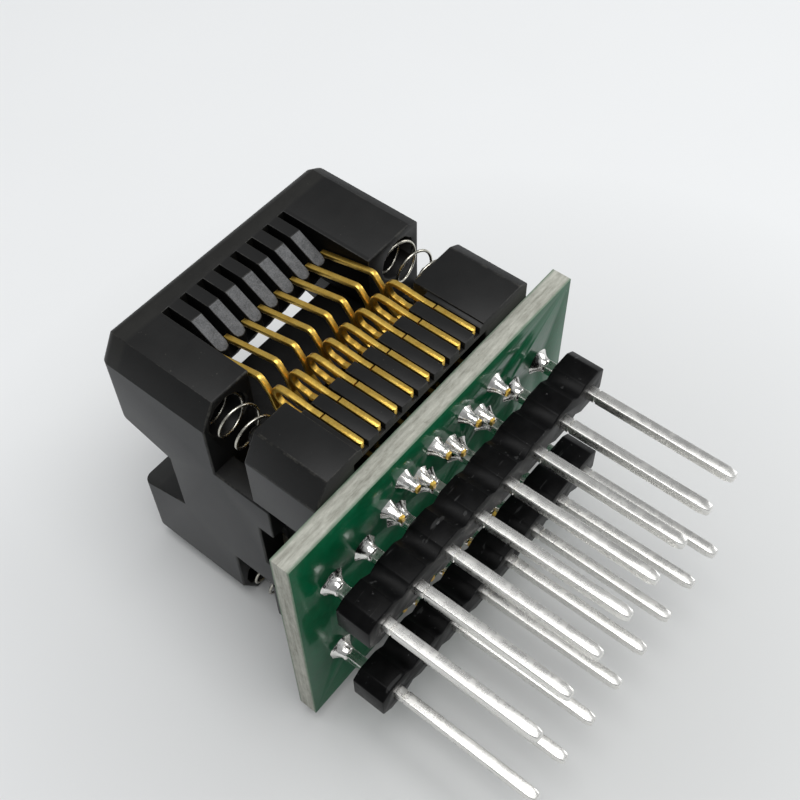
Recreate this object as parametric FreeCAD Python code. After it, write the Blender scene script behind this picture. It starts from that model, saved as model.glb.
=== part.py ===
import FreeCAD, Part
import math
import os

# Adapter that takes a 16-lead gull-wing chip in a spring-loaded open-top socket and brings its
# leads out to two rows of square pins. Millimetres.
#
# The pieces are drawn upright: X along the contact rows, Y across them, Z up from the underside of
# the circuit board, with "side" meaning a distance from the middle plane towards either long side.
# The adapter can't stand on its pins, so at the end each piece is turned to lie on a long side.
#
# There are many small pieces, so small round things have a few flat sides each.

Vec = FreeCAD.Vector

# Two strips of square pins
pin_pitch = 2.54
pins_per_row = 8
pin_row_spacing = 7.62
pin_side = 0.64
pin_below_strip = 9.1
pin_taper_length = 0.5
pin_taper_side = 0.34
pin_neck_side = 0.54
pin_neck_length = 0.12
pin_neck_drop = 0.45
strip_height = 2.1
strip_width = 2.45
strip_joint_width = 1.6
strip_flat_length = 1.25
strip_gap_a = 1.42
strip_gap_b = 2.02

# Circuit board
board_end_margin = 1.27
board_width = 17.0
board_thickness = 1.2
pin_hole_clearance = 0.05
tail_hole_clearance = 0.11

# Contacts: flat strips with their profile across the socket
contact_pitch = 1.27
contacts_per_side = 8
contact_thickness = 0.34
strip_web = 0.3
stem_width = 0.45
stem_inset = 0.1
stem_step = 0.05
stem_above_board = 0.16
foot_height = 0.6
tail_width = 0.46
tail_below_board = 1.1
tail_row_gap = 1.27
hairpin_inset = 0.71
hairpin_radius = 0.59
hairpin_above_comb = 2.23
nose_gap = 0.65
shoulder_inset = 0.3
arm_lean = 0.9
arm_clearance = 0.4
# The inner leg's wave, from the hairpin's inner side and the top of the comb
inner_wave = [(0, 1.4), (-0.12, 0.95), (-0.02, 0.4), (-0.25, -0.5), (-1.3, -0.9)]
# The chip side of the strip: shares of the way from the nose to the wave's end, and heights
# from the top of the comb
nose_wave = [(0.8, -0.35), (0.444, 0.85), (0.089, 0.8)]
# The lever arm leaves the strip at this share of the way from the wave's end to the chip side,
# and its bends are counted from the hairpin's inner side and the top of the comb
arm_foot_share = 0.667
arm_bends = [(-1.4, 1.6), (-0.75, 2.32), (0.15, 2.6)]

# Socket outline, shared by the base and the press cover
end_block_length = 3.755
base_width = 19.8
cover_inset = 0.1
corner_length = 0.95
corner_width = 1.55
# The +X end reaches a little farther and has smaller corners
long_end_extra = 0.75
small_corner_length = 0.75
small_corner_width = 0.4

# Socket base
base_height = 4.67
comb_height = 3.7
comb_end_margin = 0.555
slot_floor_height = 1.9
slot_floor_thickness = 0.4
slot_clearance = 0.08
front_wall_thickness = 0.9
front_slot_depth = 0.62
comb_setback = 0.12
cavity_inner_gap = 0.88
cavity_end_margin = 0.855
tail_clearance = 0.12
seat_height = 3.85
seat_half_width = 2.05
ledge_width = 1.2
guide_chamfer = 0.35
guide_wall_thickness = 1.0
guide_wall_gap = 0.3
guide_wall_height = 7.1
guide_bridge_height = 2.5
guide_lead_in = 0.5
latch_groove_depth = 0.4
latch_stop_thickness = 0.42

# Press cover
cover_height = 7.68
cover_stop_gap = 0.3
cover_edge_radius = 0.7
window_end_margin = 0.755
long_bar_width = 3.9
window_flare = 0.7
window_flare_depth = 4.15
bar_thickness = 1.5
rib_crease_depth = 3.15
rib_front_inset = 1.2
rib_heel_inset = 1.85
rib_end_height = 2.58
rib_back_height = 3.73
rib_end_radius = 0.3
notch_top_half = 3.57
notch_floor_half = 2.4
notch_depth = 3.85
leg_thickness = 1.5
leg_half_width = 4.5
leg_notch_half = 1.9
leg_notch_height = 1.05
leg_side_clearance = 0.17
leg_back_clearance = 0.25
leg_floor_gap = 0.4
latch_height = 0.6
latch_tip_clearance = 0.05
latch_stop_clearance = 0.05
travel = 2.5

# Springs between base and cover
spring_end_inset = 1.75
spring_side_inset = 1.95
spring_mean_radius = 1.12
spring_wire = 0.22
spring_turns = 6
spring_steps_per_turn = 8
spring_wire_sides = 4
spring_pocket_clearance = 0.11
spring_pocket_depth = 4.5
spring_post_clearance = 0.29
spring_post_height = 1.1

# Solder
pin_joint_radius = 0.82
pin_joint_height = 0.7
tail_joint_radius = 0.58
tail_joint_height = 0.85
joint_waist_share = 0.45
hole_sides = 8
pocket_sides = 12

# Worked out from the sizes above
contact_places = [
    (contacts_per_side / 2 - 0.5 - place) * contact_pitch for place in range(contacts_per_side)
]
pin_places = [(pins_per_row / 2 - 0.5 - place) * pin_pitch for place in range(pins_per_row)]
last_contact = max(contact_places)
pin_row_side = pin_row_spacing / 2
inner_tail_side = pin_row_side + tail_row_gap
outer_tail_side = inner_tail_side + tail_row_gap
tail_sides = [
    outer_tail_side if place % 2 == 0 else inner_tail_side for place in range(contacts_per_side)
]
strip_gaps = {1: strip_gap_b, -1: strip_gap_a}
pin_above_strip = board_thickness + strip_gap_a
pin_hole_radius = pin_side / math.sqrt(2) + pin_hole_clearance
tail_hole_radius = math.hypot(contact_thickness, tail_width) / 2 + tail_hole_clearance

base_top = board_thickness + base_height
comb_top = board_thickness + comb_height
seat_top = board_thickness + seat_height
slot_floor = board_thickness + slot_floor_height
cavity_top = slot_floor - slot_floor_thickness
base_half = base_width / 2
cover_half = base_half - cover_inset
socket_half_length = last_contact + end_block_length
comb_half_length = last_contact + comb_end_margin
slot_half = contact_thickness / 2 + slot_clearance

cover_bottom = base_top + travel + cover_stop_gap
cover_top = cover_bottom + cover_height
cover_slot_top = cover_top - bar_thickness
window_side = cover_half - long_bar_width
rib_crease = cover_top - rib_crease_depth
rib_end = cover_bottom + rib_end_height
rib_front_side = cover_half - rib_front_inset
rib_heel_side = cover_half - rib_heel_inset

latch_groove_top = base_top - latch_stop_thickness
latch_top = latch_groove_top - latch_stop_clearance
leg_bottom = latch_top - latch_height
leg_well_floor = leg_bottom - travel - leg_floor_gap
leg_inner = socket_half_length - leg_thickness
well_inner = leg_inner - leg_back_clearance

spring_x = socket_half_length - spring_end_inset
spring_side = base_half - spring_side_inset
spring_outer_radius = spring_mean_radius + spring_wire / 2
spring_post_radius = spring_mean_radius - spring_wire / 2 - spring_post_clearance

# Cutters run this far past what they cut
spare = 1.0
far = 2 * (base_half + cover_top)


def box(x0, x1, y0, y1, z0, z1):
    return Part.makeBox(x1 - x0, y1 - y0, z1 - z0, Vec(x0, y0, z0))


def closed_wire(corners):
    return Part.makePolygon(corners + corners[:1])


def prism_across(outline, x0, x1):
    """Extrude an outline of (side, height) points along X."""
    corners = [Vec(x0, side, height) for side, height in outline]
    return Part.Face(closed_wire(corners)).extrude(Vec(x1 - x0, 0, 0))


def prism_along(outline, y0, y1):
    """Extrude an outline of (x, height) points along Y."""
    corners = [Vec(x, y0, height) for x, height in outline]
    return Part.Face(closed_wire(corners)).extrude(Vec(0, y1 - y0, 0))


def prism_up(outline, z0, z1):
    """Extrude an outline of (x, y) points along Z."""
    corners = [Vec(x, y, z0) for x, y in outline]
    return Part.Face(closed_wire(corners)).extrude(Vec(0, 0, z1 - z0))


def ring(centre, radius, sides):
    """Corners of a level regular polygon."""
    angles = [2 * math.pi * place / sides for place in range(sides)]
    return [centre + Vec(math.cos(angle), math.sin(angle), 0) * radius for angle in angles]


def round_prism(x, y, radius, z0, z1, sides):
    """Upright peg or hole with a few flat sides."""
    return prism_up([(corner.x, corner.y) for corner in ring(Vec(x, y, 0), radius, sides)], z0, z1)


def tapered(rings):
    """Solid through level rings with the same number of corners."""
    faces = [Part.Face(closed_wire(rings[0])), Part.Face(closed_wire(rings[-1]))]
    for lower, upper in zip(rings, rings[1:]):
        for place in range(len(lower)):
            other = (place + 1) % len(lower)
            quad = [lower[place], lower[other], upper[other], upper[place]]
            faces.append(Part.Face(closed_wire(quad)))
    return Part.makeSolid(Part.makeShell(faces))


def both_sides(shape):
    """The shape and its mirror image on the other long side."""
    return [shape, shape.mirror(Vec(0, 0, 0), Vec(0, 1, 0))]


def both_ends(shape):
    """The shape moved out at the longer end, and its mirror image at the other end."""
    return [shape.translated(Vec(long_end_extra, 0, 0)), shape.mirror(Vec(0, 0, 0), Vec(1, 0, 0))]


def four_corners(shape):
    return [copy for half in both_sides(shape) for copy in both_ends(half)]


def cut_outline(half_width):
    """Plan outline of the socket, with its four corners cut off."""
    long_end = socket_half_length + long_end_extra
    line = [(long_end, half_width - small_corner_width),
            (long_end - small_corner_length, half_width),
            (corner_length - socket_half_length, half_width),
            (-socket_half_length, half_width - corner_width)]
    return line + [(x, -y) for x, y in reversed(line)]


def sideways(direction, distance):
    """Step to the left of a direction in the (side, height) plane."""
    return Vec(0, -direction.z, direction.y) * distance


def ribbon(points, width, arcs):
    """Face of even width along (side, height) points; arcs gives the radius at the round ones."""
    path = [Vec(0, side, height) for side, height in points]
    steps = [(b - a).normalize() for a, b in zip(path, path[1:])]
    edges = []
    ends = []
    for offset in (width / 2, -width / 2):
        last = path[0] + sideways(steps[0], offset)
        ends.append(last)
        for place in range(1, len(path) - 1):
            before = steps[place - 1]
            after = steps[place]
            middle = (sideways(before, 1) + sideways(after, 1)).normalize()
            if place not in arcs:
                corner = path[place] + middle * (offset / middle.dot(sideways(before, 1)))
                edges.append(Part.makeLine(last, corner))
                last = corner
                continue
            cosine = before.dot(after)
            reach = arcs[place] * math.sqrt((1 - cosine) / (1 + cosine))
            left = 1 if sideways(before, 1).dot(after) > 0 else -1
            entry = path[place] - before * reach
            leave = path[place] + after * reach
            centre = entry + sideways(before, arcs[place] * left)
            bend = arcs[place] - left * offset
            first = entry + sideways(before, offset)
            final = leave + sideways(after, offset)
            if (first - last).Length > 1e-6:
                edges.append(Part.makeLine(last, first))
            edges.append(Part.Arc(first, centre - middle * (bend * left), final).toShape())
            last = final
        end = path[-1] + sideways(steps[-1], offset)
        edges.append(Part.makeLine(last, end))
        ends.append(end)
    edges.append(Part.makeLine(ends[0], ends[2]))
    edges.append(Part.makeLine(ends[1], ends[3]))
    return Part.Face(Part.Wire(Part.__sortEdges__(edges)))


def circuit_board():
    board_length = pins_per_row * pin_pitch + 2 * board_end_margin
    board = box(-board_length / 2, board_length / 2, -board_width / 2, board_width / 2,
                0, board_thickness)
    holes = []
    for x in pin_places:
        holes += both_sides(round_prism(x, pin_row_side, pin_hole_radius, 0, board_thickness, hole_sides))
    for x, tail_side in zip(contact_places, tail_sides):
        holes += both_sides(round_prism(x, tail_side, tail_hole_radius, 0, board_thickness, hole_sides))
    return board.cut(holes)


def header_strip(y_sign):
    """Moulded strip with a V groove on each side between its pins."""
    top = -strip_gaps[y_sign]
    bottom = top - strip_height
    near_line = []
    for x in sorted(pin_places):
        near_line.append((x - pin_pitch / 2, -strip_joint_width / 2))
        near_line.append((x - strip_flat_length / 2, -strip_width / 2))
        near_line.append((x + strip_flat_length / 2, -strip_width / 2))
    near_line.append((max(pin_places) + pin_pitch / 2, -strip_joint_width / 2))
    far_line = [(x, -y) for x, y in reversed(near_line)]
    strip = prism_up(near_line + far_line, bottom, top)
    half = pin_side / 2
    strip = strip.cut([box(x - half, x + half, -half, half, bottom, top) for x in pin_places])
    return strip.translate(Vec(0, y_sign * pin_row_side, 0))


def square_bar(side, z0, z1):
    return box(-side / 2, side / 2, -side / 2, side / 2, z0, z1)


def square_ring(side, z):
    half = side / 2
    return [Vec(-half, -half, z), Vec(half, -half, z), Vec(half, half, z), Vec(-half, half, z)]


def header_pin(x, y_sign):
    """Square pin with a swaged neck below its strip and a tapered tip."""
    strip_top = -strip_gaps[y_sign]
    strip_bottom = strip_top - strip_height
    tip = strip_bottom - pin_below_strip
    neck_top = strip_bottom - pin_neck_drop
    neck_bottom = neck_top - pin_neck_length
    shank_bottom = tip + pin_taper_length
    pin = square_bar(pin_side, neck_top, strip_top + pin_above_strip).fuse([
        square_bar(pin_neck_side, neck_bottom, neck_top),
        square_bar(pin_side, shank_bottom, neck_bottom),
        tapered([square_ring(pin_taper_side, tip), square_ring(pin_side, shank_bottom)]),
    ]).removeSplitter()
    return pin.translate(Vec(x, y_sign * pin_row_side, 0))


def socket_base():
    body = prism_up(cut_outline(base_half), board_thickness, base_top)
    cuts = []
    # The comb and the chip's seat lie lower than the four corner blocks
    half = comb_half_length
    cuts.append(box(-half, half, -seat_half_width, seat_half_width, seat_top, far))
    cuts += both_sides(box(-half, half, seat_half_width, far, comb_top, far))
    cuts += both_sides(box(-half, half, base_half - comb_setback, far, board_thickness, far))
    # Lead-in slopes that centre the chip's body between its end guides
    slope = [(half, base_top - guide_chamfer), (half + guide_chamfer, base_top), (half, base_top)]
    lead_in = prism_along(slope, -seat_half_width, seat_half_width)
    cuts += [lead_in, lead_in.mirror(Vec(0, 0, 0), Vec(1, 0, 0))]
    # Wells for the cover's legs, with grooves that their latches slide in
    well_half = leg_half_width + leg_side_clearance
    cuts += both_ends(box(well_inner, far, -well_half, well_half, leg_well_floor, far))
    groove = box(well_inner - latch_groove_depth, well_inner, leg_notch_half - leg_side_clearance,
                 well_half, leg_well_floor, latch_groove_top)
    cuts += four_corners(groove)
    # Hollow under each side, where the contacts' tails come down
    hollow_half = last_contact + cavity_end_margin
    cuts += both_sides(box(-hollow_half, hollow_half, inner_tail_side - cavity_inner_gap,
                           base_half - front_wall_thickness, board_thickness, cavity_top))
    # A slot for each contact: across the comb, down the front wall, and a passage for its tail
    passage = tail_width / 2 + tail_clearance
    for x, tail_side in zip(contact_places, tail_sides):
        x0 = x - slot_half
        x1 = x + slot_half
        cuts += both_sides(box(x0, x1, seat_half_width + ledge_width, far, slot_floor, far))
        cuts += both_sides(box(x0, x1, base_half - front_slot_depth, far, board_thickness, far))
        cuts += both_sides(box(x0, x1, tail_side - passage, tail_side + passage,
                               board_thickness, slot_floor))
    body = body.cut(cuts)
    return body.fuse(four_corners(spring_post()) + both_sides(guide_wall())).removeSplitter()


def guide_wall():
    """Wall that bridges the contacts on one side and leads the chip down between them."""
    outer = window_side - guide_wall_gap
    inner = outer - guide_wall_thickness
    top = comb_top + guide_wall_height
    outline = [(outer, comb_top), (outer, top), (inner + guide_lead_in / 2, top),
               (inner, top - guide_lead_in), (inner, comb_top)]
    wall = prism_across(outline, -comb_half_length, comb_half_length)
    return wall.cut([box(x - slot_half, x + slot_half, inner, outer,
                         comb_top, comb_top + guide_bridge_height) for x in contact_places])


def spring_post():
    """Peg with a sloped end that keeps a spring in its place on the base."""
    shoulder = base_top + spring_post_height - spring_post_radius / 2
    levels = [(base_top, spring_post_radius), (shoulder, spring_post_radius),
              (base_top + spring_post_height, spring_post_radius / 2)]
    return tapered([ring(Vec(spring_x, spring_side, z), radius, hole_sides) for z, radius in levels])


def cover_slot(x):
    """Cutter for one contact's slot, flared at the foot so that the ribs end in blunt tongues."""
    half = slot_half
    wide = half + rib_end_radius
    turn = rib_end_radius * (1 - math.cos(math.pi / 4))
    foot = cover_bottom - spare
    right = [(half, cover_slot_top), (half, rib_end + rib_end_radius), (half + turn, rib_end + turn),
             (wide, rib_end), (wide, foot)]
    left = [(-distance, height) for distance, height in reversed(right)]
    outline = [(x + distance, height) for distance, height in right + left]
    return prism_along(outline, window_side - spare, far)


def press_cover():
    body = prism_up(cut_outline(cover_half), cover_bottom, cover_top)
    rim = [edge for edge in body.Edges
           if all(abs(vertex.Z - cover_top) < 1e-6 for vertex in edge.Vertexes)]
    body = body.makeFillet(cover_edge_radius, rim)
    body = body.fuse(both_ends(leg()))
    cuts = []
    # Window for the chip, wider at the top
    window_top = window_side + window_flare
    knee = cover_top - window_flare_depth
    window = [(-window_top, cover_top), (-window_side, knee), (-window_side, leg_bottom),
              (window_side, leg_bottom), (window_side, knee), (window_top, cover_top),
              (window_top, far), (-window_top, far)]
    window_half = last_contact + window_end_margin
    cuts.append(prism_across(window, -window_half, window_half))
    # Under each long side the ribs lean in and end above the contacts
    comb_half = last_contact + slot_half
    lean = (cover_half - rib_front_side) / (rib_crease - rib_end)
    back_slope = (rib_back_height - rib_end_height) / (rib_heel_side - window_side)
    outside = cover_half + spare
    inside = window_side - spare
    under = [(outside, rib_crease + spare / lean), (rib_front_side, rib_end), (rib_heel_side, rib_end),
             (inside, cover_bottom + rib_back_height + spare * back_slope),
             (inside, leg_bottom), (outside, leg_bottom)]
    cuts += both_sides(prism_across(under, -comb_half, comb_half))
    # The slots stay between the comb's two end walls
    comb_room = box(-comb_half, comb_half, 0, far, 0, far)
    for x in contact_places:
        cuts += both_sides(cover_slot(x).common(comb_room))
    # Finger notch in each end wall
    floor = cover_top - notch_depth
    notch = [(-notch_top_half, cover_top), (-notch_floor_half, floor), (notch_floor_half, floor),
             (notch_top_half, cover_top), (notch_top_half, far), (-notch_top_half, far)]
    notch_cut = prism_across(notch, window_half - spare, far)
    cuts += [notch_cut, notch_cut.mirror(Vec(0, 0, 0), Vec(1, 0, 0))]
    # Pockets that hold the springs' upper ends
    pocket_radius = spring_outer_radius + spring_pocket_clearance
    cuts += four_corners(round_prism(spring_x, spring_side, pocket_radius, cover_bottom,
                                     cover_bottom + spring_pocket_depth, pocket_sides))
    return body.cut(cuts).removeSplitter()


def leg():
    """Leg that runs in the base's well, with two feet and a latch on each."""
    plate = box(leg_inner, socket_half_length, -leg_half_width, leg_half_width, leg_bottom, cover_bottom)
    plate = plate.cut(box(leg_inner, socket_half_length, -leg_notch_half, leg_notch_half,
                          leg_bottom, leg_bottom + leg_notch_height))
    tip = well_inner - latch_groove_depth + latch_tip_clearance
    outline = [(tip, latch_top), (leg_inner, latch_top), (leg_inner, leg_bottom),
               ((tip + well_inner) / 2, leg_bottom), (tip, (leg_bottom + latch_top) / 2)]
    return plate.fuse(both_sides(prism_along(outline, leg_notch_half, leg_half_width)))


def cover_spring(x_sign, y_sign):
    """Wire coil from the base to the roof of its pocket."""
    radius = spring_wire / 2
    bottom = base_top + radius
    top = cover_bottom + spring_pocket_depth - radius
    steps = spring_turns * spring_steps_per_turn
    sections = []
    for step in range(steps + 1):
        angle = 2 * math.pi * step / spring_steps_per_turn
        outward = Vec(math.cos(angle), math.sin(angle), 0)
        centre = outward * spring_mean_radius + Vec(0, 0, bottom + (top - bottom) * step / steps)
        section = []
        for corner in range(spring_wire_sides):
            round_wire = 2 * math.pi * (corner + 0.5) / spring_wire_sides
            section.append(centre + outward * (radius * math.cos(round_wire))
                           + Vec(0, 0, radius * math.sin(round_wire)))
        sections.append(closed_wire(section))
    coil = Part.makeLoft(sections, True, True)
    centre_x = spring_x + long_end_extra if x_sign > 0 else -spring_x
    return coil.translate(Vec(centre_x, y_sign * spring_side, 0))


def contact(x, y_sign, tail_side):
    """One strip: tail, foot, stem, hairpin, lever arm and the nose that presses on a chip's lead."""
    half_web = strip_web / 2
    stem_side = base_half - stem_inset
    hairpin_side = base_half - hairpin_inset - stem_inset
    hairpin_top = comb_top + hairpin_above_comb
    outer_leg = hairpin_side + hairpin_radius
    inner_leg = hairpin_side - hairpin_radius
    lower_leg = stem_side - stem_step - half_web
    nose_side = seat_half_width + nose_gap
    foot_top = slot_floor + foot_height

    left = tail_side - tail_width / 2
    right = tail_side + tail_width / 2
    stem_left = stem_side - stem_width
    stem_top = foot_top + stem_width / 2
    stem_bottom = board_thickness + stem_above_board
    frame = [(left, foot_top), (left, -tail_below_board), (right, -tail_below_board), (right, slot_floor),
             (stem_left, slot_floor), (stem_left, stem_bottom), (stem_side, stem_bottom),
             (stem_side, stem_top), (stem_left, stem_top), (stem_left, foot_top)]

    spring_path = [(lower_leg, foot_top), (lower_leg, comb_top), (outer_leg, comb_top + inner_wave[0][1]),
                   (outer_leg, hairpin_top), (inner_leg, hairpin_top)]
    spring_path += [(inner_leg + side, comb_top + height) for side, height in inner_wave]
    wave_end = spring_path[-1]
    span = wave_end[0] - nose_side
    chip_side = [(nose_side + share * span, comb_top + height) for share, height in nose_wave]
    spring_path += chip_side
    spring_path.append((nose_side, comb_top + half_web))

    arm_path = [tuple(a + (b - a) * arm_foot_share for a, b in zip(wave_end, chip_side[0]))]
    arm_path += [(inner_leg + side, comb_top + height) for side, height in arm_bends]
    shoulder_side = cover_half - shoulder_inset
    arm_path.append((shoulder_side, cover_bottom - 2 * shoulder_inset))
    arm_path.append((shoulder_side - arm_lean, cover_slot_top - travel - arm_clearance))

    faces = [ribbon(spring_path, strip_web, {3: hairpin_radius, 4: hairpin_radius}),
             ribbon(arm_path, strip_web, {})]
    strips = [face.extrude(Vec(contact_thickness, 0, 0)) for face in faces]
    solid = prism_across(frame, 0, contact_thickness).fuse(strips).removeSplitter()
    solid = solid.translate(Vec(-contact_thickness / 2, 0, 0))
    if y_sign < 0:
        solid = solid.mirror(Vec(0, 0, 0), Vec(0, 1, 0))
    return solid.translate(Vec(x, 0, 0))


def solder_joint(base_radius, top_radius, height, centre, through):
    """Hollow-sided cone of solder under the board, open where the pin or tail goes through it."""
    waist_radius = (base_radius + 2 * top_radius) / 3
    levels = [(0, base_radius), (-height * joint_waist_share, waist_radius), (-height, top_radius)]
    cone = tapered([ring(Vec(0, 0, z), radius, hole_sides) for z, radius in levels])
    return cone.cut(through).translate(centre)


def pin_solder(y_sign):
    hole = square_bar(pin_side, -spare, spare)
    return Part.makeCompound([
        solder_joint(pin_joint_radius, pin_hole_radius, pin_joint_height,
                     Vec(x, y_sign * pin_row_side, 0), hole)
        for x in pin_places])


def tail_solder(y_sign):
    half = contact_thickness / 2
    hole = box(-half, half, -tail_width / 2, tail_width / 2, -spare, spare)
    return Part.makeCompound([
        solder_joint(tail_joint_radius, tail_hole_radius, tail_joint_height,
                     Vec(x, y_sign * tail_side, 0), hole)
        for x, tail_side in zip(contact_places, tail_sides)])


def all_pieces():
    pieces = {
        "press_cover": press_cover(),
        "socket_base": socket_base(),
        "circuit_board": circuit_board(),
    }
    for y_sign, letter in ((-1, "a"), (1, "b")):
        pieces["header_strip_" + letter] = header_strip(y_sign)
        pieces["pin_solder_" + letter] = pin_solder(y_sign)
        pieces["contact_solder_" + letter] = tail_solder(y_sign)
        for number, x in enumerate(pin_places, start=1):
            pieces["header_pin_%s%d" % (letter, number)] = header_pin(x, y_sign)
        for number, (x, tail_side) in enumerate(zip(contact_places, tail_sides), start=1):
            pieces["contact_%s%d" % (letter, number)] = contact(x, y_sign, tail_side)
        for x_sign in (1, -1):
            name = "cover_spring_%s%d" % (letter, 1 if x_sign > 0 else 2)
            pieces[name] = cover_spring(x_sign, y_sign)
    return pieces


def lay_down(shape):
    """Turn an upright piece onto the adapter's long side, centred under its bounding box."""
    lowest_tip = -max(strip_gaps.values()) - strip_height - pin_below_strip
    middle = (cover_top + lowest_tip) / 2
    placed = shape.copy()
    turn = FreeCAD.Placement(Vec(0, -middle, base_half), FreeCAD.Rotation(Vec(1, 0, 0), -90))
    placed.Placement = turn.multiply(placed.Placement)
    return placed


os.makedirs("parts", exist_ok=True)
for node, piece in all_pieces().items():
    lay_down(piece).exportStep(os.path.join("parts", node + ".step"))
    print("%-20s solids %d  volume %8.3f mm3  valid %s"
          % (node, len(piece.Solids), piece.Volume, piece.isValid()))
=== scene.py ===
import math
import random
import bmesh
import bpy
from mathutils import Matrix, Vector


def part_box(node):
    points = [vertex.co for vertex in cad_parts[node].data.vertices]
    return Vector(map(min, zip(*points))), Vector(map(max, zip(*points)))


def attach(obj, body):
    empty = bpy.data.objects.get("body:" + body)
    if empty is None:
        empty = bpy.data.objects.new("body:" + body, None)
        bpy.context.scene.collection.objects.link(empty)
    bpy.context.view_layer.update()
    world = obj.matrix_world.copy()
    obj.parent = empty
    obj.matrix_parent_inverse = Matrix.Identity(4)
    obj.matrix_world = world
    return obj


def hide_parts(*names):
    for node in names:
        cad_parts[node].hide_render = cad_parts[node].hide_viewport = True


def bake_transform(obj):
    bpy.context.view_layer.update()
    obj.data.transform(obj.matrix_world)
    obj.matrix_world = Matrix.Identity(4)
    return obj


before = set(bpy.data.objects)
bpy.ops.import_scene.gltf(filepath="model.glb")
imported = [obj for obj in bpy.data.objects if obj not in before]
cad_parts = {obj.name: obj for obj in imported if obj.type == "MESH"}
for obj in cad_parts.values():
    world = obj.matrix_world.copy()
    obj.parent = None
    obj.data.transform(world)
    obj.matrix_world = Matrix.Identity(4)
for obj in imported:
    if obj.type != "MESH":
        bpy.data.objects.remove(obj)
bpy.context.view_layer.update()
print("frame loaded:", len(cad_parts), "nodes")

mm = 0.001
boardLow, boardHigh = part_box("circuit_board")
undersideY = boardLow.y                       # the board's underside, height 0
middleZ = (boardLow.z + boardHigh.z) / 2      # the middle plane between the two rows
rowSigns = {"a": 1, "b": -1}                  # row a lies on top, row b below
contactPlaces = [(3.5 - place) * 1.27 for place in range(8)]
pinPlaces = [(3.5 - place) * 2.54 for place in range(8)]
tailSides = [6.35 if place % 2 == 0 else 5.08 for place in range(8)]
pinSide = 3.81


def at(x, side, height, sign):  # millimetres on the upright adapter to a point in the frame
    return Vector((x * mm, undersideY + height * mm, middleZ + sign * side * mm))


# Shader and geometry nodes

class Wire:  # a socket that Python's operators work on
    def __init__(self, tree, socket=None):
        self.tree = tree
        self.socket = socket

    def node(self, kind, settings=None, inputs=None, output=0):
        made = self.tree.nodes.new(kind)
        for name, value in (settings or {}).items():
            setattr(made, name, value)
        for name, value in (inputs or {}).items():
            if isinstance(value, Wire):
                self.tree.links.new(value.socket, made.inputs[name])
            else:
                made.inputs[name].default_value = value
        return Wire(self.tree, made.outputs[output])

    def math(self, operation, first, second=None):
        inputs = {0: first} if second is None else {0: first, 1: second}
        return self.node("ShaderNodeMath", {"operation": operation}, inputs)

    def __add__(self, other):
        return self.math("ADD", self, other)

    def __radd__(self, other):
        return self.math("ADD", other, self)

    def __sub__(self, other):
        return self.math("SUBTRACT", self, other)

    def __rsub__(self, other):
        return self.math("SUBTRACT", other, self)

    def __mul__(self, other):
        return self.math("MULTIPLY", self, other)

    def __rmul__(self, other):
        return self.math("MULTIPLY", other, self)

    def __truediv__(self, other):
        return self.math("DIVIDE", self, other)

    def __rtruediv__(self, other):
        return self.math("DIVIDE", other, self)

    def absolute(self):
        return self.math("ABSOLUTE", self)

    def axis(self, number):  # one of a vector's three numbers
        return self.node("ShaderNodeSeparateXYZ", {}, {0: self}, number)

    def ramp(self, low, high):  # 0 at low, 1 at high
        return self.node("ShaderNodeMapRange", {"clamp": True},
                         {0: self, 1: low, 2: high, 3: 0.0, 4: 1.0})

    def colours(self, first, second):  # first where the value is 0, second where it is 1
        return self.node("ShaderNodeMix", {"data_type": "RGBA"}, {0: self, 6: first, 7: second}, 2)

    def noise(self, scale, detail=3.0, roughness=0.55, stretch=None):
        place = self
        if stretch:
            place = self.node("ShaderNodeMapping", {}, {"Vector": self, "Scale": stretch})
        return self.node("ShaderNodeTexNoise", {}, {"Vector": place, "Scale": scale, "Detail": detail,
                                                    "Roughness": roughness})

    def bump(self, strength, distance):
        return self.node("ShaderNodeBump", {},
                         {"Height": self, "Strength": strength, "Distance": distance})


def startMaterial(name):
    material = bpy.data.materials.new(name)
    material.use_nodes = True
    tree = material.node_tree
    shader = tree.nodes["Principled BSDF"]
    place = Wire(tree).node("ShaderNodeTexCoord", output=3)
    return material, shader, place


def feed(shader, **inputs):
    names = {"colour": "Base Color", "roughness": "Roughness", "metallic": "Metallic", "normal": "Normal",
             "coat": "Coat Weight", "coatRoughness": "Coat Roughness", "coatIor": "Coat IOR",
             "specular": "Specular IOR Level"}
    for name, value in inputs.items():
        socket = shader.inputs[names[name]]
        if isinstance(value, Wire):
            value.tree.links.new(value.socket, socket)
        else:
            socket.default_value = value


def rgb(red, green, blue):
    return (red, green, blue, 1.0)


# Finishes

mouldedPlastic = {
    "dark": rgb(0.0008, 0.0008, 0.0008),
    "light": rgb(0.0036, 0.0036, 0.0033),
    "worn": rgb(0.075, 0.072, 0.060),
    # painted light: lighter greys for the ribs' leaning faces, where they face the light
    "paintedLitRibDark": rgb(0.040, 0.041, 0.042),
    "paintedLitRibLight": rgb(0.145, 0.147, 0.152),
    # painted reflection: paler greys for the end faces, for the lit floor they mirror
    "paintedReflectionEndDark": rgb(0.033, 0.034, 0.035),
    "paintedReflectionEndLight": rgb(0.052, 0.053, 0.055),
    # painted shade: near-black for the slots' walls and the ribs' roots
    "paintedShade": rgb(0.0008, 0.0008, 0.0008),
    "grainScale": 9000,
    "mottleScale": 900,
    "speckScale": 5200,
    "rubbedScale": 1500,
    "combEnds": (4.96, 4.9),             # where the ribs' painted root shade begins, in mm
    "ribSides": (9.6, 9.7),
    "ribRootHeights": (14.9, 14.8),
    "rimHeights": (14.75, 15.0),
}

stripColours = {
    "dark": rgb(0.0012, 0.0012, 0.0013),
    "light": rgb(0.004, 0.004, 0.0042),
    "scratch": rgb(0.10, 0.10, 0.10),
}

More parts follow.
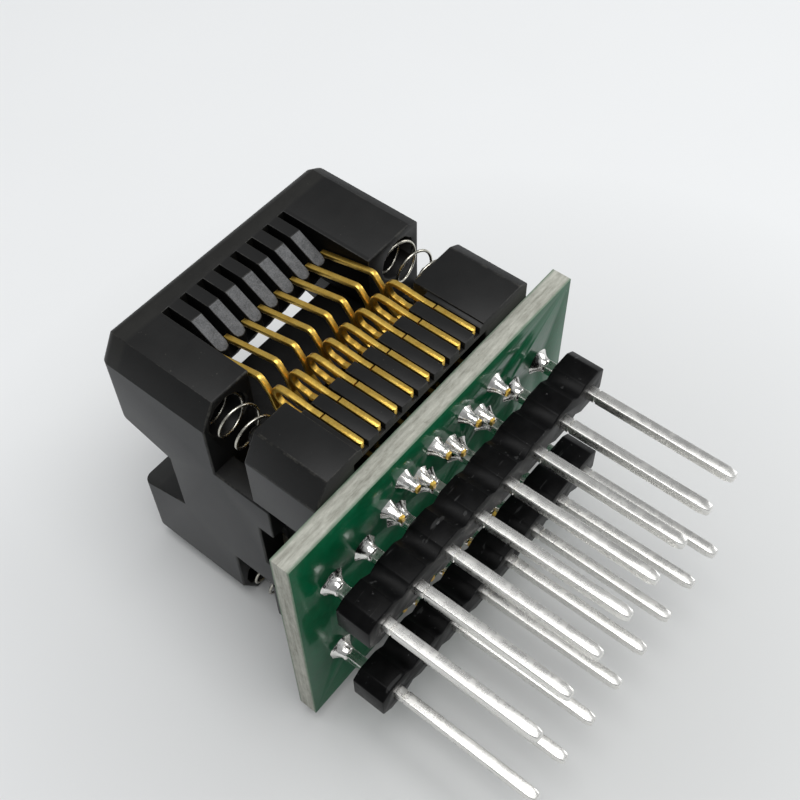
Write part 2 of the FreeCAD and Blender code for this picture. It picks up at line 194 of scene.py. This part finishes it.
metalColours = {
    "gold": (rgb(0.70, 0.40, 0.055), rgb(1.0, 0.70, 0.17)),
    "tin": (rgb(0.70, 0.69, 0.66), rgb(0.95, 0.94, 0.91)),
    "tinDull": rgb(0.50, 0.48, 0.43),
    "solder": (rgb(0.62, 0.61, 0.58), rgb(0.88, 0.87, 0.84)),
    "springWire": (rgb(0.36, 0.34, 0.29), rgb(0.70, 0.68, 0.60)),
}

boardColours = {
    "mask": (rgb(0.0008, 0.048, 0.016), rgb(0.002, 0.098, 0.040)),
    "dust": rgb(0.16, 0.24, 0.18),
    "glossyHeights": (3.5, 9.5),         # the mask is dull near the board's low edge, in mm
    "fibre": (rgb(0.20, 0.20, 0.165), rgb(0.52, 0.52, 0.46)),
    "spot": rgb(0.13, 0.135, 0.10),
    "border": rgb(0.015, 0.11, 0.045),
    "borderWidth": (0.02, 0.14),         # inside and outside the edge's borders, in mm
}


def plasticMaterial(name, dark="dark", light="light", wear=0.0, bar=False):
    look = mouldedPlastic
    material, shader, place = startMaterial(name)
    mottle = place.noise(look["mottleScale"], 5, 0.6)
    grain = place.noise(look["grainScale"], 3, 0.7)
    colour = (mottle * 0.6 + grain * 0.3).ramp(0.3, 0.62).colours(look[dark], look[light])
    specks = place.noise(look["speckScale"], 2, 0.5).ramp(0.74, 0.765)
    colour = (specks * 0.4).colours(colour, look["worn"])
    if wear:
        rubbed = (place.noise(look["rubbedScale"], 6, 0.7) + grain * 0.25).ramp(0.58, 0.74) * wear
        colour = rubbed.colours(colour, look["worn"])
    rough = 0.44 + mottle * 0.12
    if bar:  # the ribs' roots get painted shade, and the bar above them is lighter towards its top
        height = (place.axis(1) - undersideY) / mm
        inComb = (place.axis(0).absolute() / mm).ramp(*look["combEnds"])
        aside = ((place.axis(2) - middleZ).absolute() / mm).ramp(*look["ribSides"])
        # painted shade at the ribs' roots, next to the bar
        ribRootShade = inComb * aside * height.ramp(*look["ribRootHeights"])
        colour = (ribRootShade * 0.8).colours(colour, look["paintedShade"])
        rough = rough + ribRootShade * 0.2
        rim = height.ramp(*look["rimHeights"]) * (0.35 + mottle * 0.5)
        colour = (rim * 0.16).colours(colour, look["worn"])
    feed(shader, colour=colour, roughness=rough, specular=0.36,
         normal=(grain * 0.7 + mottle * 0.5).bump(0.2, 0.00004))
    return material


# painted light: a lighter copy of the plastic for the ribs' leaning faces, which face the light
def paintedLitRibMaterial():
    look = mouldedPlastic
    material, shader, place = startMaterial("socketPlasticRibPaintedLight")
    grain = place.noise(14000, 3, 0.7)
    mottle = place.noise(2600, 4, 0.65)
    colour = (grain * 0.7 + mottle * 0.4).ramp(0.38, 0.72).colours(look["paintedLitRibDark"], look["paintedLitRibLight"])
    feed(shader, colour=colour, roughness=0.62, specular=0.35, normal=grain.bump(0.4, 0.00003))
    return material


# painted shade: a near-black copy of the plastic for the slots' walls, where shade falls
def paintedShadeMaterial():
    material, shader, place = startMaterial("socketPlasticPaintedShade")
    mottle = place.noise(2000, 3, 0.6)
    colour = mottle.colours(mouldedPlastic["paintedShade"], mouldedPlastic["dark"])
    feed(shader, colour=colour, roughness=0.75, specular=0.12)
    return material


def stripMaterial():
    material, shader, place = startMaterial("stripPlastic")
    mottle = place.noise(1300, 4, 0.6)
    scratches = place.noise(2400, 2, 0.5, (0.16, 1.0, 1.0)).ramp(0.66, 0.7)
    flecks = place.noise(3600, 3, 0.6).ramp(0.7, 0.73)
    colour = mottle.ramp(0.3, 0.7).colours(stripColours["dark"], stripColours["light"])
    colour = (scratches * 0.25 + flecks * 0.5).colours(colour, stripColours["scratch"])
    feed(shader, colour=colour, roughness=0.26 + mottle * 0.2, specular=0.08,
         normal=(mottle * 0.8 + scratches * 0.3).bump(0.3, 0.00005))
    return material


def goldMaterial():
    material, shader, place = startMaterial("contactGold")
    grain = place.noise(15000, 3, 0.7)
    patch = place.noise(1900, 4, 0.6)
    colour = (patch * 0.55 + grain * 0.5).ramp(0.3, 0.68).colours(*metalColours["gold"])
    feed(shader, colour=colour, metallic=1.0, roughness=0.24 + grain * 0.2,
         normal=(grain * 0.7 + patch).bump(0.3, 0.00003))
    return material


def tinMaterial():
    material, shader, place = startMaterial("pinTin")
    drawn = place.noise(5200, 4, 0.65, (1.0, 0.05, 1.0))    # streaks along the pin
    spots = place.noise(2300, 4, 0.6)
    dull = spots.ramp(0.5, 0.78)
    colour = (drawn * 0.6 + spots * 0.4).ramp(0.25, 0.75).colours(*metalColours["tin"])
    colour = (dull * 0.25).colours(colour, metalColours["tinDull"])
    feed(shader, colour=colour, metallic=1.0, roughness=0.22 + drawn * 0.1 + dull * 0.14,
         normal=(drawn * 0.4 + spots * 0.6).bump(0.12, 0.00004))
    return material


def solderMaterial():
    material, shader, place = startMaterial("solderMetal")
    lumps = place.noise(2600, 3, 0.6)
    fine = place.noise(9000, 3, 0.6)
    colour = lumps.ramp(0.3, 0.7).colours(*metalColours["solder"])
    feed(shader, colour=colour, metallic=1.0, roughness=0.1 + lumps * 0.16,
         normal=(lumps + fine * 0.25).bump(0.35, 0.00008))
    return material


def springMaterial():
    material, shader, place = startMaterial("springWire")
    drawn = place.noise(6000, 3, 0.6)
    colour = drawn.ramp(0.3, 0.7).colours(*metalColours["springWire"])
    feed(shader, colour=colour, metallic=1.0, roughness=0.2 + drawn * 0.14,
         normal=drawn.bump(0.15, 0.00002))
    return material


def maskMaterial():
    material, shader, place = startMaterial("solderMask")
    cloud = place.noise(260, 4, 0.6)
    weave = place.noise(4200, 2, 0.5)
    dust = place.noise(3300, 3, 0.6).ramp(0.7, 0.74)
    glossy = (place.axis(2) / mm + cloud * 2).ramp(*boardColours["glossyHeights"])
    colour = (cloud * 0.7 + weave * 0.3).ramp(0.3, 0.7).colours(*boardColours["mask"])
    colour = (dust * 0.35).colours(colour, boardColours["dust"])
    feed(shader, colour=colour, roughness=0.3 + weave * 0.1, specular=0.06, coat=glossy * 0.45,
         coatRoughness=0.09, coatIor=1.36, normal=(weave * 0.5 + cloud).bump(0.1, 0.0001))
    return material


def fibreMaterial():
    material, shader, place = startMaterial("boardEdge")
    layers = place.noise(2600, 4, 0.65, (0.12, 1.6, 0.12))
    fibres = place.noise(5200, 3, 0.7, (0.3, 1.0, 0.3))
    spots = place.noise(1900, 4, 0.7).ramp(0.6, 0.78)
    colour = (layers * 0.6 + fibres * 0.5).ramp(0.32, 0.72).colours(*boardColours["fibre"])
    colour = (spots * 0.5).colours(colour, boardColours["spot"])
    half = (boardHigh.y - boardLow.y) / mm / 2
    inside, outside = boardColours["borderWidth"]
    fromMiddle = ((place.axis(1) - boardLow.y) / mm - half).absolute()
    border = (fromMiddle + layers * 0.3).ramp(half - inside, half + outside)
    colour = (border * 0.7).colours(colour, boardColours["border"])
    feed(shader, colour=colour, roughness=0.7 + fibres * 0.2, specular=0.35,
         normal=(layers + fibres).bump(0.5, 0.00006))
    return material


plastic = plasticMaterial("socketPlastic")
plasticEdge = plasticMaterial("socketPlasticEdge", wear=0.35)
plasticCover = plasticMaterial("coverPlastic", bar=True)
plasticEndPaintedReflection = plasticMaterial("socketPlasticEndPaintedReflection", "paintedReflectionEndDark", "paintedReflectionEndLight")
plasticRibPaintedLight = paintedLitRibMaterial()
plasticPaintedShade = paintedShadeMaterial()
stripPlastic = stripMaterial()
gold = goldMaterial()
tin = tinMaterial()
solder = solderMaterial()
springSteel = springMaterial()
mask = maskMaterial()
fibre = fibreMaterial()
print("materials made")


# Meshes

def newObject(name, data):
    made = bpy.data.objects.new(name, data)
    bpy.context.scene.collection.objects.link(made)
    return made


def addPiece(name, mesh, node, body="base_body"):
    piece = newObject(name, mesh)
    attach(piece, body)
    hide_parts(node)


def meshFrom(builder, name, smoothAngle, material):
    mesh = bpy.data.meshes.new(name)
    mesh.materials.append(material)
    builder.normal_update()
    builder.to_mesh(mesh)
    builder.free()
    mesh.shade_smooth()
    mesh.set_sharp_from_angle(angle=math.radians(smoothAngle))
    return mesh


def mergedCopy(node):  # one node's solid as a clean mesh with flat faces in one piece
    builder = bmesh.new()
    builder.from_mesh(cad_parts[node].data)
    for layer in list(builder.loops.layers.uv):
        builder.loops.layers.uv.remove(layer)
    bmesh.ops.remove_doubles(builder, verts=builder.verts, dist=2e-6)
    bmesh.ops.dissolve_limit(builder, angle_limit=math.radians(0.6), verts=builder.verts,
                             edges=builder.edges)
    for face in builder.faces:
        face.material_index = 0
    return builder


mouldings = {
    "coverEdge": 0.10,
    "baseEdge": 0.09,
    "stripEdge": 0.07,
    "boardEdge": 0.03,
    "combEdge": 0.035,       # the thin walls between the contacts stay crisp
    "combHalf": 4.97,
    "leastAngle": 28,
    "roomShare": 0.28,       # of the shortest edge beside it
    "leastShare": 0.1,
    "smoothAngle": 32,
    "endFace": 7.9,          # faces past this are the end faces, which get a paler colour as a painted reflection of the floor
    "largeFace": 40,
}


def markEdges(builder, width):  # bevel weights, less where the faces are small
    look = mouldings
    comb = [abs(vert.co.x) < look["combHalf"] * mm for vert in builder.verts]
    weights = builder.edges.layers.float.new("bevel_weight_edge")
    count = 0
    for edge in builder.edges:
        if len(edge.link_faces) != 2 or not edge.is_convex:
            continue
        if edge.calc_face_angle(0) < math.radians(look["leastAngle"]):
            continue
        beside = [other.calc_length() for vert in edge.verts for other in vert.link_edges]
        size = min(width, min(beside) * look["roomShare"])
        if all(comb[vert.index] for vert in edge.verts):
            size = min(size, look["combEdge"] * mm)
        if size > width * look["leastShare"]:
            edge[weights] = size / width
            count += 1
    return count


def softened(builder, name, width, edgeSlot, materials):  # a mesh with rounded outer edges
    count = markEdges(builder, width)
    mesh = bpy.data.meshes.new(name + "Plain")
    builder.to_mesh(mesh)
    builder.free()
    for material in materials:
        mesh.materials.append(material)
    helper = newObject(name + "Helper", mesh)
    bevel = helper.modifiers.new("bevel", "BEVEL")
    bevel.limit_method = "WEIGHT"
    bevel.width = width
    bevel.segments = 2
    bevel.use_clamp_overlap = False
    bevel.loop_slide = False
    bevel.material = edgeSlot
    graph = bpy.context.evaluated_depsgraph_get()
    finished = bpy.data.meshes.new_from_object(helper.evaluated_get(graph), depsgraph=graph)
    bpy.data.objects.remove(helper)
    finished.name = name
    finished.shade_smooth()
    finished.set_sharp_from_angle(angle=math.radians(mouldings["smoothAngle"]))
    print(name, "edges softened:", count, "faces:", len(finished.polygons))
    return finished


# Press cover, base and pin strips

def atEnd(face):
    return abs(face.normal.x) > 0.9 and abs(face.calc_center_median().x) > mouldings["endFace"] * mm


def inComb(face):
    return abs(face.calc_center_median().x) < mouldings["combHalf"] * mm


def makeCover():
    builder = mergedCopy("press_cover")
    largeFace = mouldings["largeFace"] * mm * mm
    for face in builder.faces:
        if inComb(face) and abs(face.normal.z) > 0.7 and -0.7 < face.normal.y < -0.3:
            face.material_index = 2      # the ribs' leaning faces, painted lighter as painted light where they face the light
        elif inComb(face) and abs(face.normal.x) > 0.5 and face.calc_area() < largeFace:
            face.material_index = 3      # the slots' walls, in painted shade
        elif atEnd(face):
            # painted reflection: the end faces get the paler end colour
            face.material_index = 4
    mesh = softened(builder, "pressCover", mouldings["coverEdge"] * mm, 1,
                    (plasticCover, plasticEdge, plasticRibPaintedLight, plasticPaintedShade, plasticEndPaintedReflection))
    addPiece("pressCoverMoulding", mesh, "press_cover", "cover_body")


def makeBase():
    builder = mergedCopy("socket_base")
    for face in builder.faces:
        if inComb(face) and abs(face.normal.x) > 0.9:
            # painted shade on the slots' walls
            face.material_index = 2
        elif atEnd(face):
            # painted reflection: the end faces get the paler end colour
            face.material_index = 3
    mesh = softened(builder, "socketBase", mouldings["baseEdge"] * mm, 1,
                    (plastic, plasticEdge, plasticPaintedShade, plasticEndPaintedReflection))
    addPiece("socketBaseMoulding", mesh, "socket_base")


def makeStrips():
    for letter in rowSigns:
        mesh = softened(mergedCopy("header_strip_" + letter), "pinStrip" + letter.upper(),
                        mouldings["stripEdge"] * mm, 0, (stripPlastic,))
        addPiece("pinStripMoulding" + letter.upper(), mesh, "header_strip_" + letter)


makeCover()
makeBase()
makeStrips()
print("mouldings made")


# Circuit board

def makeBoard():
    builder = mergedCopy("circuit_board")
    builder.normal_update()
    for face in builder.faces:
        face.material_index = 0 if abs(face.normal.y) > 0.9 else 1
    mesh = softened(builder, "circuitBoard", mouldings["boardEdge"] * mm, 1, (mask, fibre))
    addPiece("greenBoard", mesh, "circuit_board")


makeBoard()
print("board made")


# Square pins

squarePin = {
    "top": [(0, 0.54, 0.03), (0.06, 0.64, 0.07)],     # depth, side and corner radius of each ring
    "neckBelowStrip": 0.45,
    "neck": [(0, 0.64, 0.07), (0.03, 0.54, 0.05), (0.09, 0.54, 0.05), (0.13, 0.64, 0.07)],
    "shankSteps": 6,
    "taper": 0.5,
    "tip": [(0.1, 0.52, 0.09), (0.02, 0.41, 0.1), (0, 0.30, 0.1)],    # height, side and corner
    "cornerSteps": 3,
    "tilt": 0.0035,
    "twist": 0.03,
    "cutSlope": 0.04,
    "smoothAngle": 40,
}


def squareRing(builder, centre, side, corner, turn):
    points = []
    steps = squarePin["cornerSteps"]
    for quarter in range(4):
        for step in range(steps + 1):
            angle = math.pi / 2 * (quarter + step / steps)
            hub = side / 2 - corner
            start = math.pi / 2 * quarter + math.pi / 4
            x = math.copysign(hub, math.cos(start)) + corner * math.cos(angle)
            z = math.copysign(hub, math.sin(start)) + corner * math.sin(angle)
            spun = Matrix.Rotation(turn, 2) @ Vector((x, z))
            points.append(builder.verts.new(centre + Vector((spun.x, 0, spun.y)) * mm))
    return points


def skin(builder, rings):
    for lower, upper in zip(rings, rings[1:]):
        count = len(lower)
        for place in range(count):
            other = (place + 1) % count
            builder.faces.new((lower[place], lower[other], upper[other], upper[place]))
    builder.faces.new(reversed(rings[0]))
    builder.faces.new(rings[-1])
    bmesh.ops.recalc_face_normals(builder, faces=builder.faces)


def pinRings(tip, top, neck):  # height, side and corner radius from the top down
    look = squarePin
    rings = [(top - depth, side, corner) for depth, side, corner in look["top"]]
    rings += [(neck - depth, side, corner) for depth, side, corner in look["neck"]]
    start, side, corner = rings[-1]
    run = start - tip - look["taper"]
    steps = look["shankSteps"]
    rings += [(start - run * step / steps, side, corner) for step in range(1, steps + 1)]
    return rings + [(tip + height, side, corner) for height, side, corner in look["tip"]]


def makePins():
    look = squarePin
    rolls = random.Random(11)
    for letter, sign in rowSigns.items():
        stripEnd = (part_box("header_strip_" + letter)[0].y - undersideY) / mm
        for number, x in enumerate(pinPlaces, start=1):
            node = "header_pin_%s%d" % (letter, number)
            tip, top = [(edge.y - undersideY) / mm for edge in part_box(node)]
            lean = [rolls.uniform(-1, 1) * look["tilt"] for axis in range(2)]
            twist = rolls.uniform(-look["twist"], look["twist"])
            cut = rolls.uniform(-look["cutSlope"], look["cutSlope"])
            builder = bmesh.new()
            rings = []
            for height, side, corner in pinRings(tip, top, stripEnd - look["neckBelowStrip"]):
                below = max(stripEnd - height, 0)
                centre = at(x + lean[0] * below, pinSide, height, sign)
                centre.z += lean[1] * below * mm
                rings.append(squareRing(builder, centre, side, corner, twist if below > 0 else 0))
            for vert in rings[-1]:  # the cut end is never quite square
                vert.co.y += (vert.co.x - x * mm) * cut
            skin(builder, rings)
            mesh = meshFrom(builder, node + "Mesh", look["smoothAngle"], tin)
            addPiece("squarePin" + letter.upper() + str(number), mesh, node)


makePins()
print("pins made")


# Geometry node trees

def newTree(name, inputs):
    tree = bpy.data.node_groups.new(name, "GeometryNodeTree")
    tree.interface.new_socket("Geometry", in_out="INPUT", socket_type="NodeSocketGeometry")
    for title, kind, value in inputs:
        socket = tree.interface.new_socket(title, in_out="INPUT", socket_type="NodeSocket" + kind)
        if kind != "Material":
            socket.default_value = value
    tree.interface.new_socket("Geometry", in_out="OUTPUT", socket_type="NodeSocketGeometry")
    entry = tree.nodes.new("NodeGroupInput")
    given = {socket.name: Wire(tree, socket) for socket in entry.outputs if socket.name}
    return tree, given


def closeTree(tree, geometry, given):
    whole = geometry.node("GeometryNodeRealizeInstances", {}, {0: geometry})
    painted = whole.node("GeometryNodeSetMaterial", {},
                         {"Geometry": whole, "Material": given["Material"]})
    leave = tree.nodes.new("NodeGroupOutput")
    tree.links.new(painted.socket, leave.inputs[0])


def runTree(tree, helper, values, name):
    modifier = helper.modifiers.new(tree.name, "NODES")
    modifier.node_group = tree
    for item in tree.interface.items_tree:
        if item.in_out == "INPUT" and item.name in values:
            modifier[item.identifier] = values[item.name]
    graph = bpy.context.evaluated_depsgraph_get()
    mesh = bpy.data.meshes.new_from_object(helper.evaluated_get(graph), depsgraph=graph)
    mesh.name = name
    helper.modifiers.remove(modifier)
    bpy.data.objects.remove(helper)
    return mesh


# Contacts

contactLook = {
    "thickness": 0.33,
    "web": 0.29,
    "corner": 0.055,
    "fillet": 0.3,
    "springPath": [(9.62, 3.98), (9.60, 4.6), (9.66, 5.6), (9.70, 6.1), (9.68, 6.5)],
    "hairpin": (9.09, 6.5, 0.59),
    "innerPath": [(8.50, 6.5), (8.49, 6.3), (8.40, 5.9), (8.46, 5.45), (8.48, 5.1),
                  (8.2, 4.4), (7.2, 4.02), (6.3, 4.55), (4.7, 5.75), (3.1, 5.7), (2.72, 5.1)],
    "armPath": [(6.6, 4.6), (7.1, 6.5), (7.75, 7.22), (8.65, 7.5), (9.5, 8.12), (8.62, 11.85)],
    "bendSteps": 12,
    "stem": {"left": 9.34, "right": 9.8, "bottom": 1.36, "top": 3.9, "width": 0.35, "corner": 0.05},
    "foot": {"bottom": 3.12, "top": 3.66, "reach": 9.74},
    "tail": {"width": 0.44, "bottom": -1.05, "top": 3.64},
    "blockCorner": 0.04,
    "sway": 0.035,           # each contact leans a little along the row above swayStart
    "swayStart": 4.2,
    "swayRise": 3.5,
    "smoothAngle": 38,
}


def ribbonTree():
    tree, given = newTree("contactStrip", [("Thickness", "Float", 0.3), ("Web", "Float", 0.3),
                                           ("Corner", "Float", 0.05), ("Fillet", "Float", 0.3),
                                           ("Material", "Material", None)])
    path = given["Geometry"]
    bent = path.node("GeometryNodeFilletCurve", {"mode": "POLY"},
                     {"Curve": path, "Count": 5, "Radius": given["Fillet"], "Limit Radius": True})
    section = path.node("GeometryNodeCurvePrimitiveQuadrilateral", {"mode": "RECTANGLE"},
                        {"Width": given["Thickness"], "Height": given["Web"]})
    soft = path.node("GeometryNodeFilletCurve", {"mode": "POLY"},
                     {"Curve": section, "Count": 3, "Radius": given["Corner"], "Limit Radius": True})
    strip = path.node("GeometryNodeCurveToMesh", {},
                      {"Curve": bent, "Profile Curve": soft, "Fill Caps": True})
    closeTree(tree, strip, given)
    return tree


def pathObject(name, paths):
    curve = bpy.data.curves.new(name, "CURVE")
    curve.dimensions = "3D"
    for points in paths:
        spline = curve.splines.new("POLY")
        spline.points.add(len(points) - 1)
        for target, (side, height) in zip(spline.points, points):
            target.co = (0, height * mm, side * mm, 1)
    return newObject(name, curve)


def stemPart(builder, look):
    stem = look["stem"]
    half = stem["width"] / 2
    outline = [(half, stem["top"]), (half, stem["bottom"] + half)]
    for step in range(1, 8):
        angle = math.pi * step / 8
        outline.append((half * math.cos(angle), stem["bottom"] + half - half * math.sin(angle)))
    outline += [(-half, stem["bottom"] + half), (-half, stem["top"])]
    loops = []
    for side in (stem["left"], stem["right"]):
        loops.append([builder.verts.new((x * mm, height * mm, side * mm)) for x, height in outline])
    near, far = loops
    count = len(near)
    front = builder.faces.new(far)
    builder.faces.new(near[::-1])
    for place in range(count):
        other = (place + 1) % count
        builder.faces.new((near[place], near[other], far[other], far[place]))
    bmesh.ops.bevel(builder, geom=list(front.edges), offset=stem["corner"] * mm, segments=2,
                    affect="EDGES", profile=0.5)


def block(builder, low, high):
    made = bmesh.ops.create_cube(builder, size=1)["verts"]
    for vert in made:
        vert.co = Vector([(a + b) / 2 + (b - a) * c for a, b, c in zip(low, high, vert.co)]) * mm
    edges = {edge for vert in made for edge in vert.link_edges}
    bmesh.ops.bevel(builder, geom=list(edges), offset=contactLook["blockCorner"] * mm, segments=1,
                    affect="EDGES")


def contactStrip(look):  # the sprung strip of one contact, from its foot to the arm's end
    side, height, radius = look["hairpin"]
    turns = [math.pi * step / look["bendSteps"] for step in range(1, look["bendSteps"])]
    loop = [(side + radius * math.cos(turn), height + radius * math.sin(turn)) for turn in turns]
    helper = pathObject("contactPath", [look["springPath"] + loop + look["innerPath"], look["armPath"]])
    return runTree(ribbonTree(), helper, {"Thickness": look["thickness"] * mm, "Web": look["web"] * mm,
                                          "Corner": look["corner"] * mm, "Fillet": look["fillet"] * mm,
                                          "Material": gold}, "contactStrip")


def makeContacts():
    look = contactLook
    foot, tail = look["foot"], look["tail"]
    half = look["thickness"] / 2
    width = tail["width"] / 2
    strip = contactStrip(look)
    rolls = random.Random(5)
    for letter, sign in rowSigns.items():
        for number, (x, tailSide) in enumerate(zip(contactPlaces, tailSides), start=1):
            node = "contact_%s%d" % (letter, number)
            builder = bmesh.new()
            builder.from_mesh(strip)
            block(builder, (-half, foot["bottom"], tailSide - width), (half, foot["top"], foot["reach"]))
            block(builder, (-half, tail["bottom"], tailSide - width),
                  (half, tail["top"], tailSide + width))
            stemPart(builder, look)
            sway = rolls.uniform(-look["sway"], look["sway"])
            for vert in builder.verts:
                rise = min(max(vert.co.y / mm - look["swayStart"], 0), look["swayRise"])
                vert.co.x += sway * rise / look["swayRise"] * mm
                vert.co = Vector((x * mm + vert.co.x, undersideY + vert.co.y, middleZ + sign * vert.co.z))
            bmesh.ops.recalc_face_normals(builder, faces=builder.faces)
            mesh = meshFrom(builder, node + "Mesh", look["smoothAngle"], gold)
            addPiece("sprungContact" + letter.upper() + str(number), mesh, node)


makeContacts()
print("contacts made")


# Springs

coil = {
    "radius": 1.12,
    "wire": 0.085,
    "turns": 6,
    "height": 7.06,
    "steps": 40,             # in each turn
    "sides": 12,
    "starts": (0.4, 2.6),    # where each coil's wire begins, in radians
}


def makeSprings():
    tree, given = newTree("coilSpring", [("Turns", "Float", 6.0), ("Radius", "Float", 0.001),
                                         ("Height", "Float", 0.007), ("Wire", "Float", 0.0001),
                                         ("Material", "Material", None)])
    start = given["Geometry"]
    path = start.node("GeometryNodeCurveSpiral", {},
                      {"Resolution": coil["steps"], "Rotations": given["Turns"],
                       "Start Radius": given["Radius"], "End Radius": given["Radius"],
                       "Height": given["Height"]})
    section = start.node("GeometryNodeCurvePrimitiveCircle", {},
                         {"Resolution": coil["sides"], "Radius": given["Wire"]})
    wire = start.node("GeometryNodeCurveToMesh", {}, {"Curve": path, "Profile Curve": section,
                                                      "Fill Caps": True})
    closeTree(tree, wire, given)
    helper = newObject("coilHelper", bpy.data.meshes.new("coilHelper"))
    mesh = runTree(tree, helper, {"Turns": coil["turns"], "Radius": coil["radius"] * mm,
                                  "Height": coil["height"] * mm, "Wire": coil["wire"] * mm,
                                  "Material": springSteel}, "coilSpring")
    for letter in rowSigns:
        for number, turnOn in enumerate(coil["starts"], start=1):
            node = "cover_spring_%s%d" % (letter, number)
            low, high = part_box(node)
            centre = (low + high) / 2
            own = mesh.copy()
            own.transform(Matrix.Translation((centre.x, low.y + coil["wire"] * mm, centre.z))
                          @ Matrix.Rotation(-math.pi / 2, 4, "X") @ Matrix.Rotation(turnOn, 4, "Z"))
            own.shade_smooth()
            piece = newObject("coilSpring" + letter.upper() + str(number), own)
            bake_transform(piece)
            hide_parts(node)


makeSprings()
print("springs made")


# Solder joints

joint = {
    "pin": {"radius": 0.8, "neck": 0.42, "height": 0.75},
    "tail": {"radius": 0.58, "neck": 0.3, "height": 0.9},
    "sides": 28,
    "levels": 9,
    "flare": 2.4,            # how quickly the cone narrows
    "topShare": 0.8,
    "lobes": (2, 3, 5),      # bulges around the skirt
    "lobeSizes": (0.03, 0.12),
    "lobeShare": 0.6,
    "heights": (0.9, 1.04),
    "smoothAngle": 50,
}


def solderCone(builder, centre, look, rolls):
    rings = []
    lobes = [(rolls.uniform(0, 6.28), rolls.uniform(*joint["lobeSizes"]), count)
             for count in joint["lobes"]]
    tall = look["height"] * rolls.uniform(*joint["heights"])
    for level in range(joint["levels"] + 1):
        share = level / joint["levels"]
        radius = look["neck"] + (look["radius"] - look["neck"]) * (1 - share) ** joint["flare"]
        if level == joint["levels"]:
            radius *= joint["topShare"]
        ring = []
        for side in range(joint["sides"]):
            angle = 2 * math.pi * side / joint["sides"]
            waves = sum(size * math.sin(count * angle + phase) for phase, size, count in lobes)
            reach = radius * (1 + (1 - share) * waves * joint["lobeShare"]) * mm
            ring.append(builder.verts.new(centre + Vector((math.cos(angle) * reach, -share * tall * mm,
                                                           math.sin(angle) * reach))))
        rings.append(ring)
    skin(builder, rings)


def makeSolder():
    rolls = random.Random(3)
    for letter, sign in rowSigns.items():
        for kind, places, node in (("pin", [(x, pinSide) for x in pinPlaces], "pin_solder_"),
                                   ("tail", list(zip(contactPlaces, tailSides)), "contact_solder_")):
            builder = bmesh.new()
            for x, side in places:
                solderCone(builder, at(x, side, 0.0, sign), joint[kind], rolls)
            mesh = meshFrom(builder, node + letter, joint["smoothAngle"], solder)
            addPiece(kind + "Joints" + letter.upper(), mesh, node + letter)


makeSolder()
print("solder made")


# Floor, light and camera

setting = {
    "floorSize": 1.2,
    # near is the painted shadow's colour, far is the floor's own colour
    "near": rgb(0.60, 0.605, 0.60),
    "far": rgb(0.84, 0.85, 0.855),
    "floorShadowCentre": (0.0, -0.008, 0.0),     # a painted shadow: the floor is darkest under the pins
    "floorShadowReach": (0.006, 0.042),
}


def makeFloor():
    builder = bmesh.new()
    bmesh.ops.create_grid(builder, x_segments=1, y_segments=1, size=setting["floorSize"] / 2)
    mesh = bpy.data.meshes.new("floor")
    builder.to_mesh(mesh)
    builder.free()
    floor = newObject("floor", mesh)
    material, shader, place = startMaterial("paleFloor")
    away = place.node("ShaderNodeVectorMath", {"operation": "DISTANCE"},
                      {0: place, 1: setting["floorShadowCentre"]}, 1)
    cloud = place.noise(60, 3, 0.5)
    # painted shadow: the floor darkens towards the shadow's centre
    shade = away.ramp(*setting["floorShadowReach"]) * 0.92 + cloud * 0.08
    colour = shade.colours(setting["near"], setting["far"])
    feed(shader, colour=colour, roughness=0.75, specular=0.2)
    mesh.materials.append(material)


lamps = {
    "keyPanel": {"place": (-0.02, -0.06, 0.36), "size": 0.26, "power": 0.95},
    "sidePanel": {"place": (0.30, -0.16, 0.14), "size": 0.14, "power": 0.28},
    "target": (0, 0, 0.01),
}


def addLamp(name):
    look = lamps[name]
    lamp = bpy.data.lights.new(name, "AREA")
    lamp.shape = "RECTANGLE"
    lamp.size = lamp.size_y = look["size"]
    lamp.energy = look["power"]
    light = newObject(name, lamp)
    light.location = look["place"]
    aim = Vector(lamps["target"]) - light.location
    light.rotation_euler = aim.to_track_quat("-Z", "Y").to_euler()


room = {
    "dimSide": (0.45, 0.38, 0.81),       # the part of the room that the upper faces mirror
    "bright": rgb(1.10, 1.12, 1.14),
    "dim": rgb(0.52, 0.53, 0.54),
    "low": rgb(0.50, 0.51, 0.52),
    "strength": 0.60,
    "acrossRange": (-0.8, 0.8),
    "dimRange": (0.45, 0.9),
}


def makeWorld():
    world = bpy.data.worlds.new("room")
    bpy.context.scene.world = world
    world.use_nodes = True
    tree = world.node_tree
    background = tree.nodes["Background"]
    place = Wire(tree).node("ShaderNodeTexCoord", output=0)
    toward = place.node("ShaderNodeVectorMath", {"operation": "DOT_PRODUCT"},
                        {0: place, 1: room["dimSide"]}, 1)
    shade = place.axis(0).ramp(*room["acrossRange"]).colours(room["low"], room["bright"])
    shade = toward.ramp(*room["dimRange"]).colours(shade, room["dim"])
    tree.links.new(shade.socket, background.inputs["Color"])
    background.inputs["Strength"].default_value = room["strength"]


cameraView = {
    "position": (-0.02685164, -0.02152399, 0.06538666),
    "forward": (0.45016726, 0.38053776, -0.80779976),
    "up": (0.63398289, 0.50085462, 0.58924557),
    "focal": 1156.515,
    "imageWidth": 800,
}


def makeCamera():
    forward = Vector(cameraView["forward"]).normalized()
    right = forward.cross(Vector(cameraView["up"])).normalized()
    up = right.cross(forward)
    camera = newObject("camera", bpy.data.cameras.new("camera"))
    turn = Matrix((right, up, -forward)).transposed()
    camera.matrix_world = Matrix.Translation(cameraView["position"]) @ turn.to_4x4()
    camera.data.sensor_width = 36
    camera.data.lens = 36 * cameraView["focal"] / cameraView["imageWidth"]
    camera.data.clip_start = 0.001
    camera.data.clip_end = 10
    bpy.context.scene.camera = camera


makeFloor()
makeWorld()
addLamp("keyPanel")
addLamp("sidePanel")
makeCamera()
bpy.context.scene.view_settings.view_transform = "Standard"
print("floor, light and camera made")
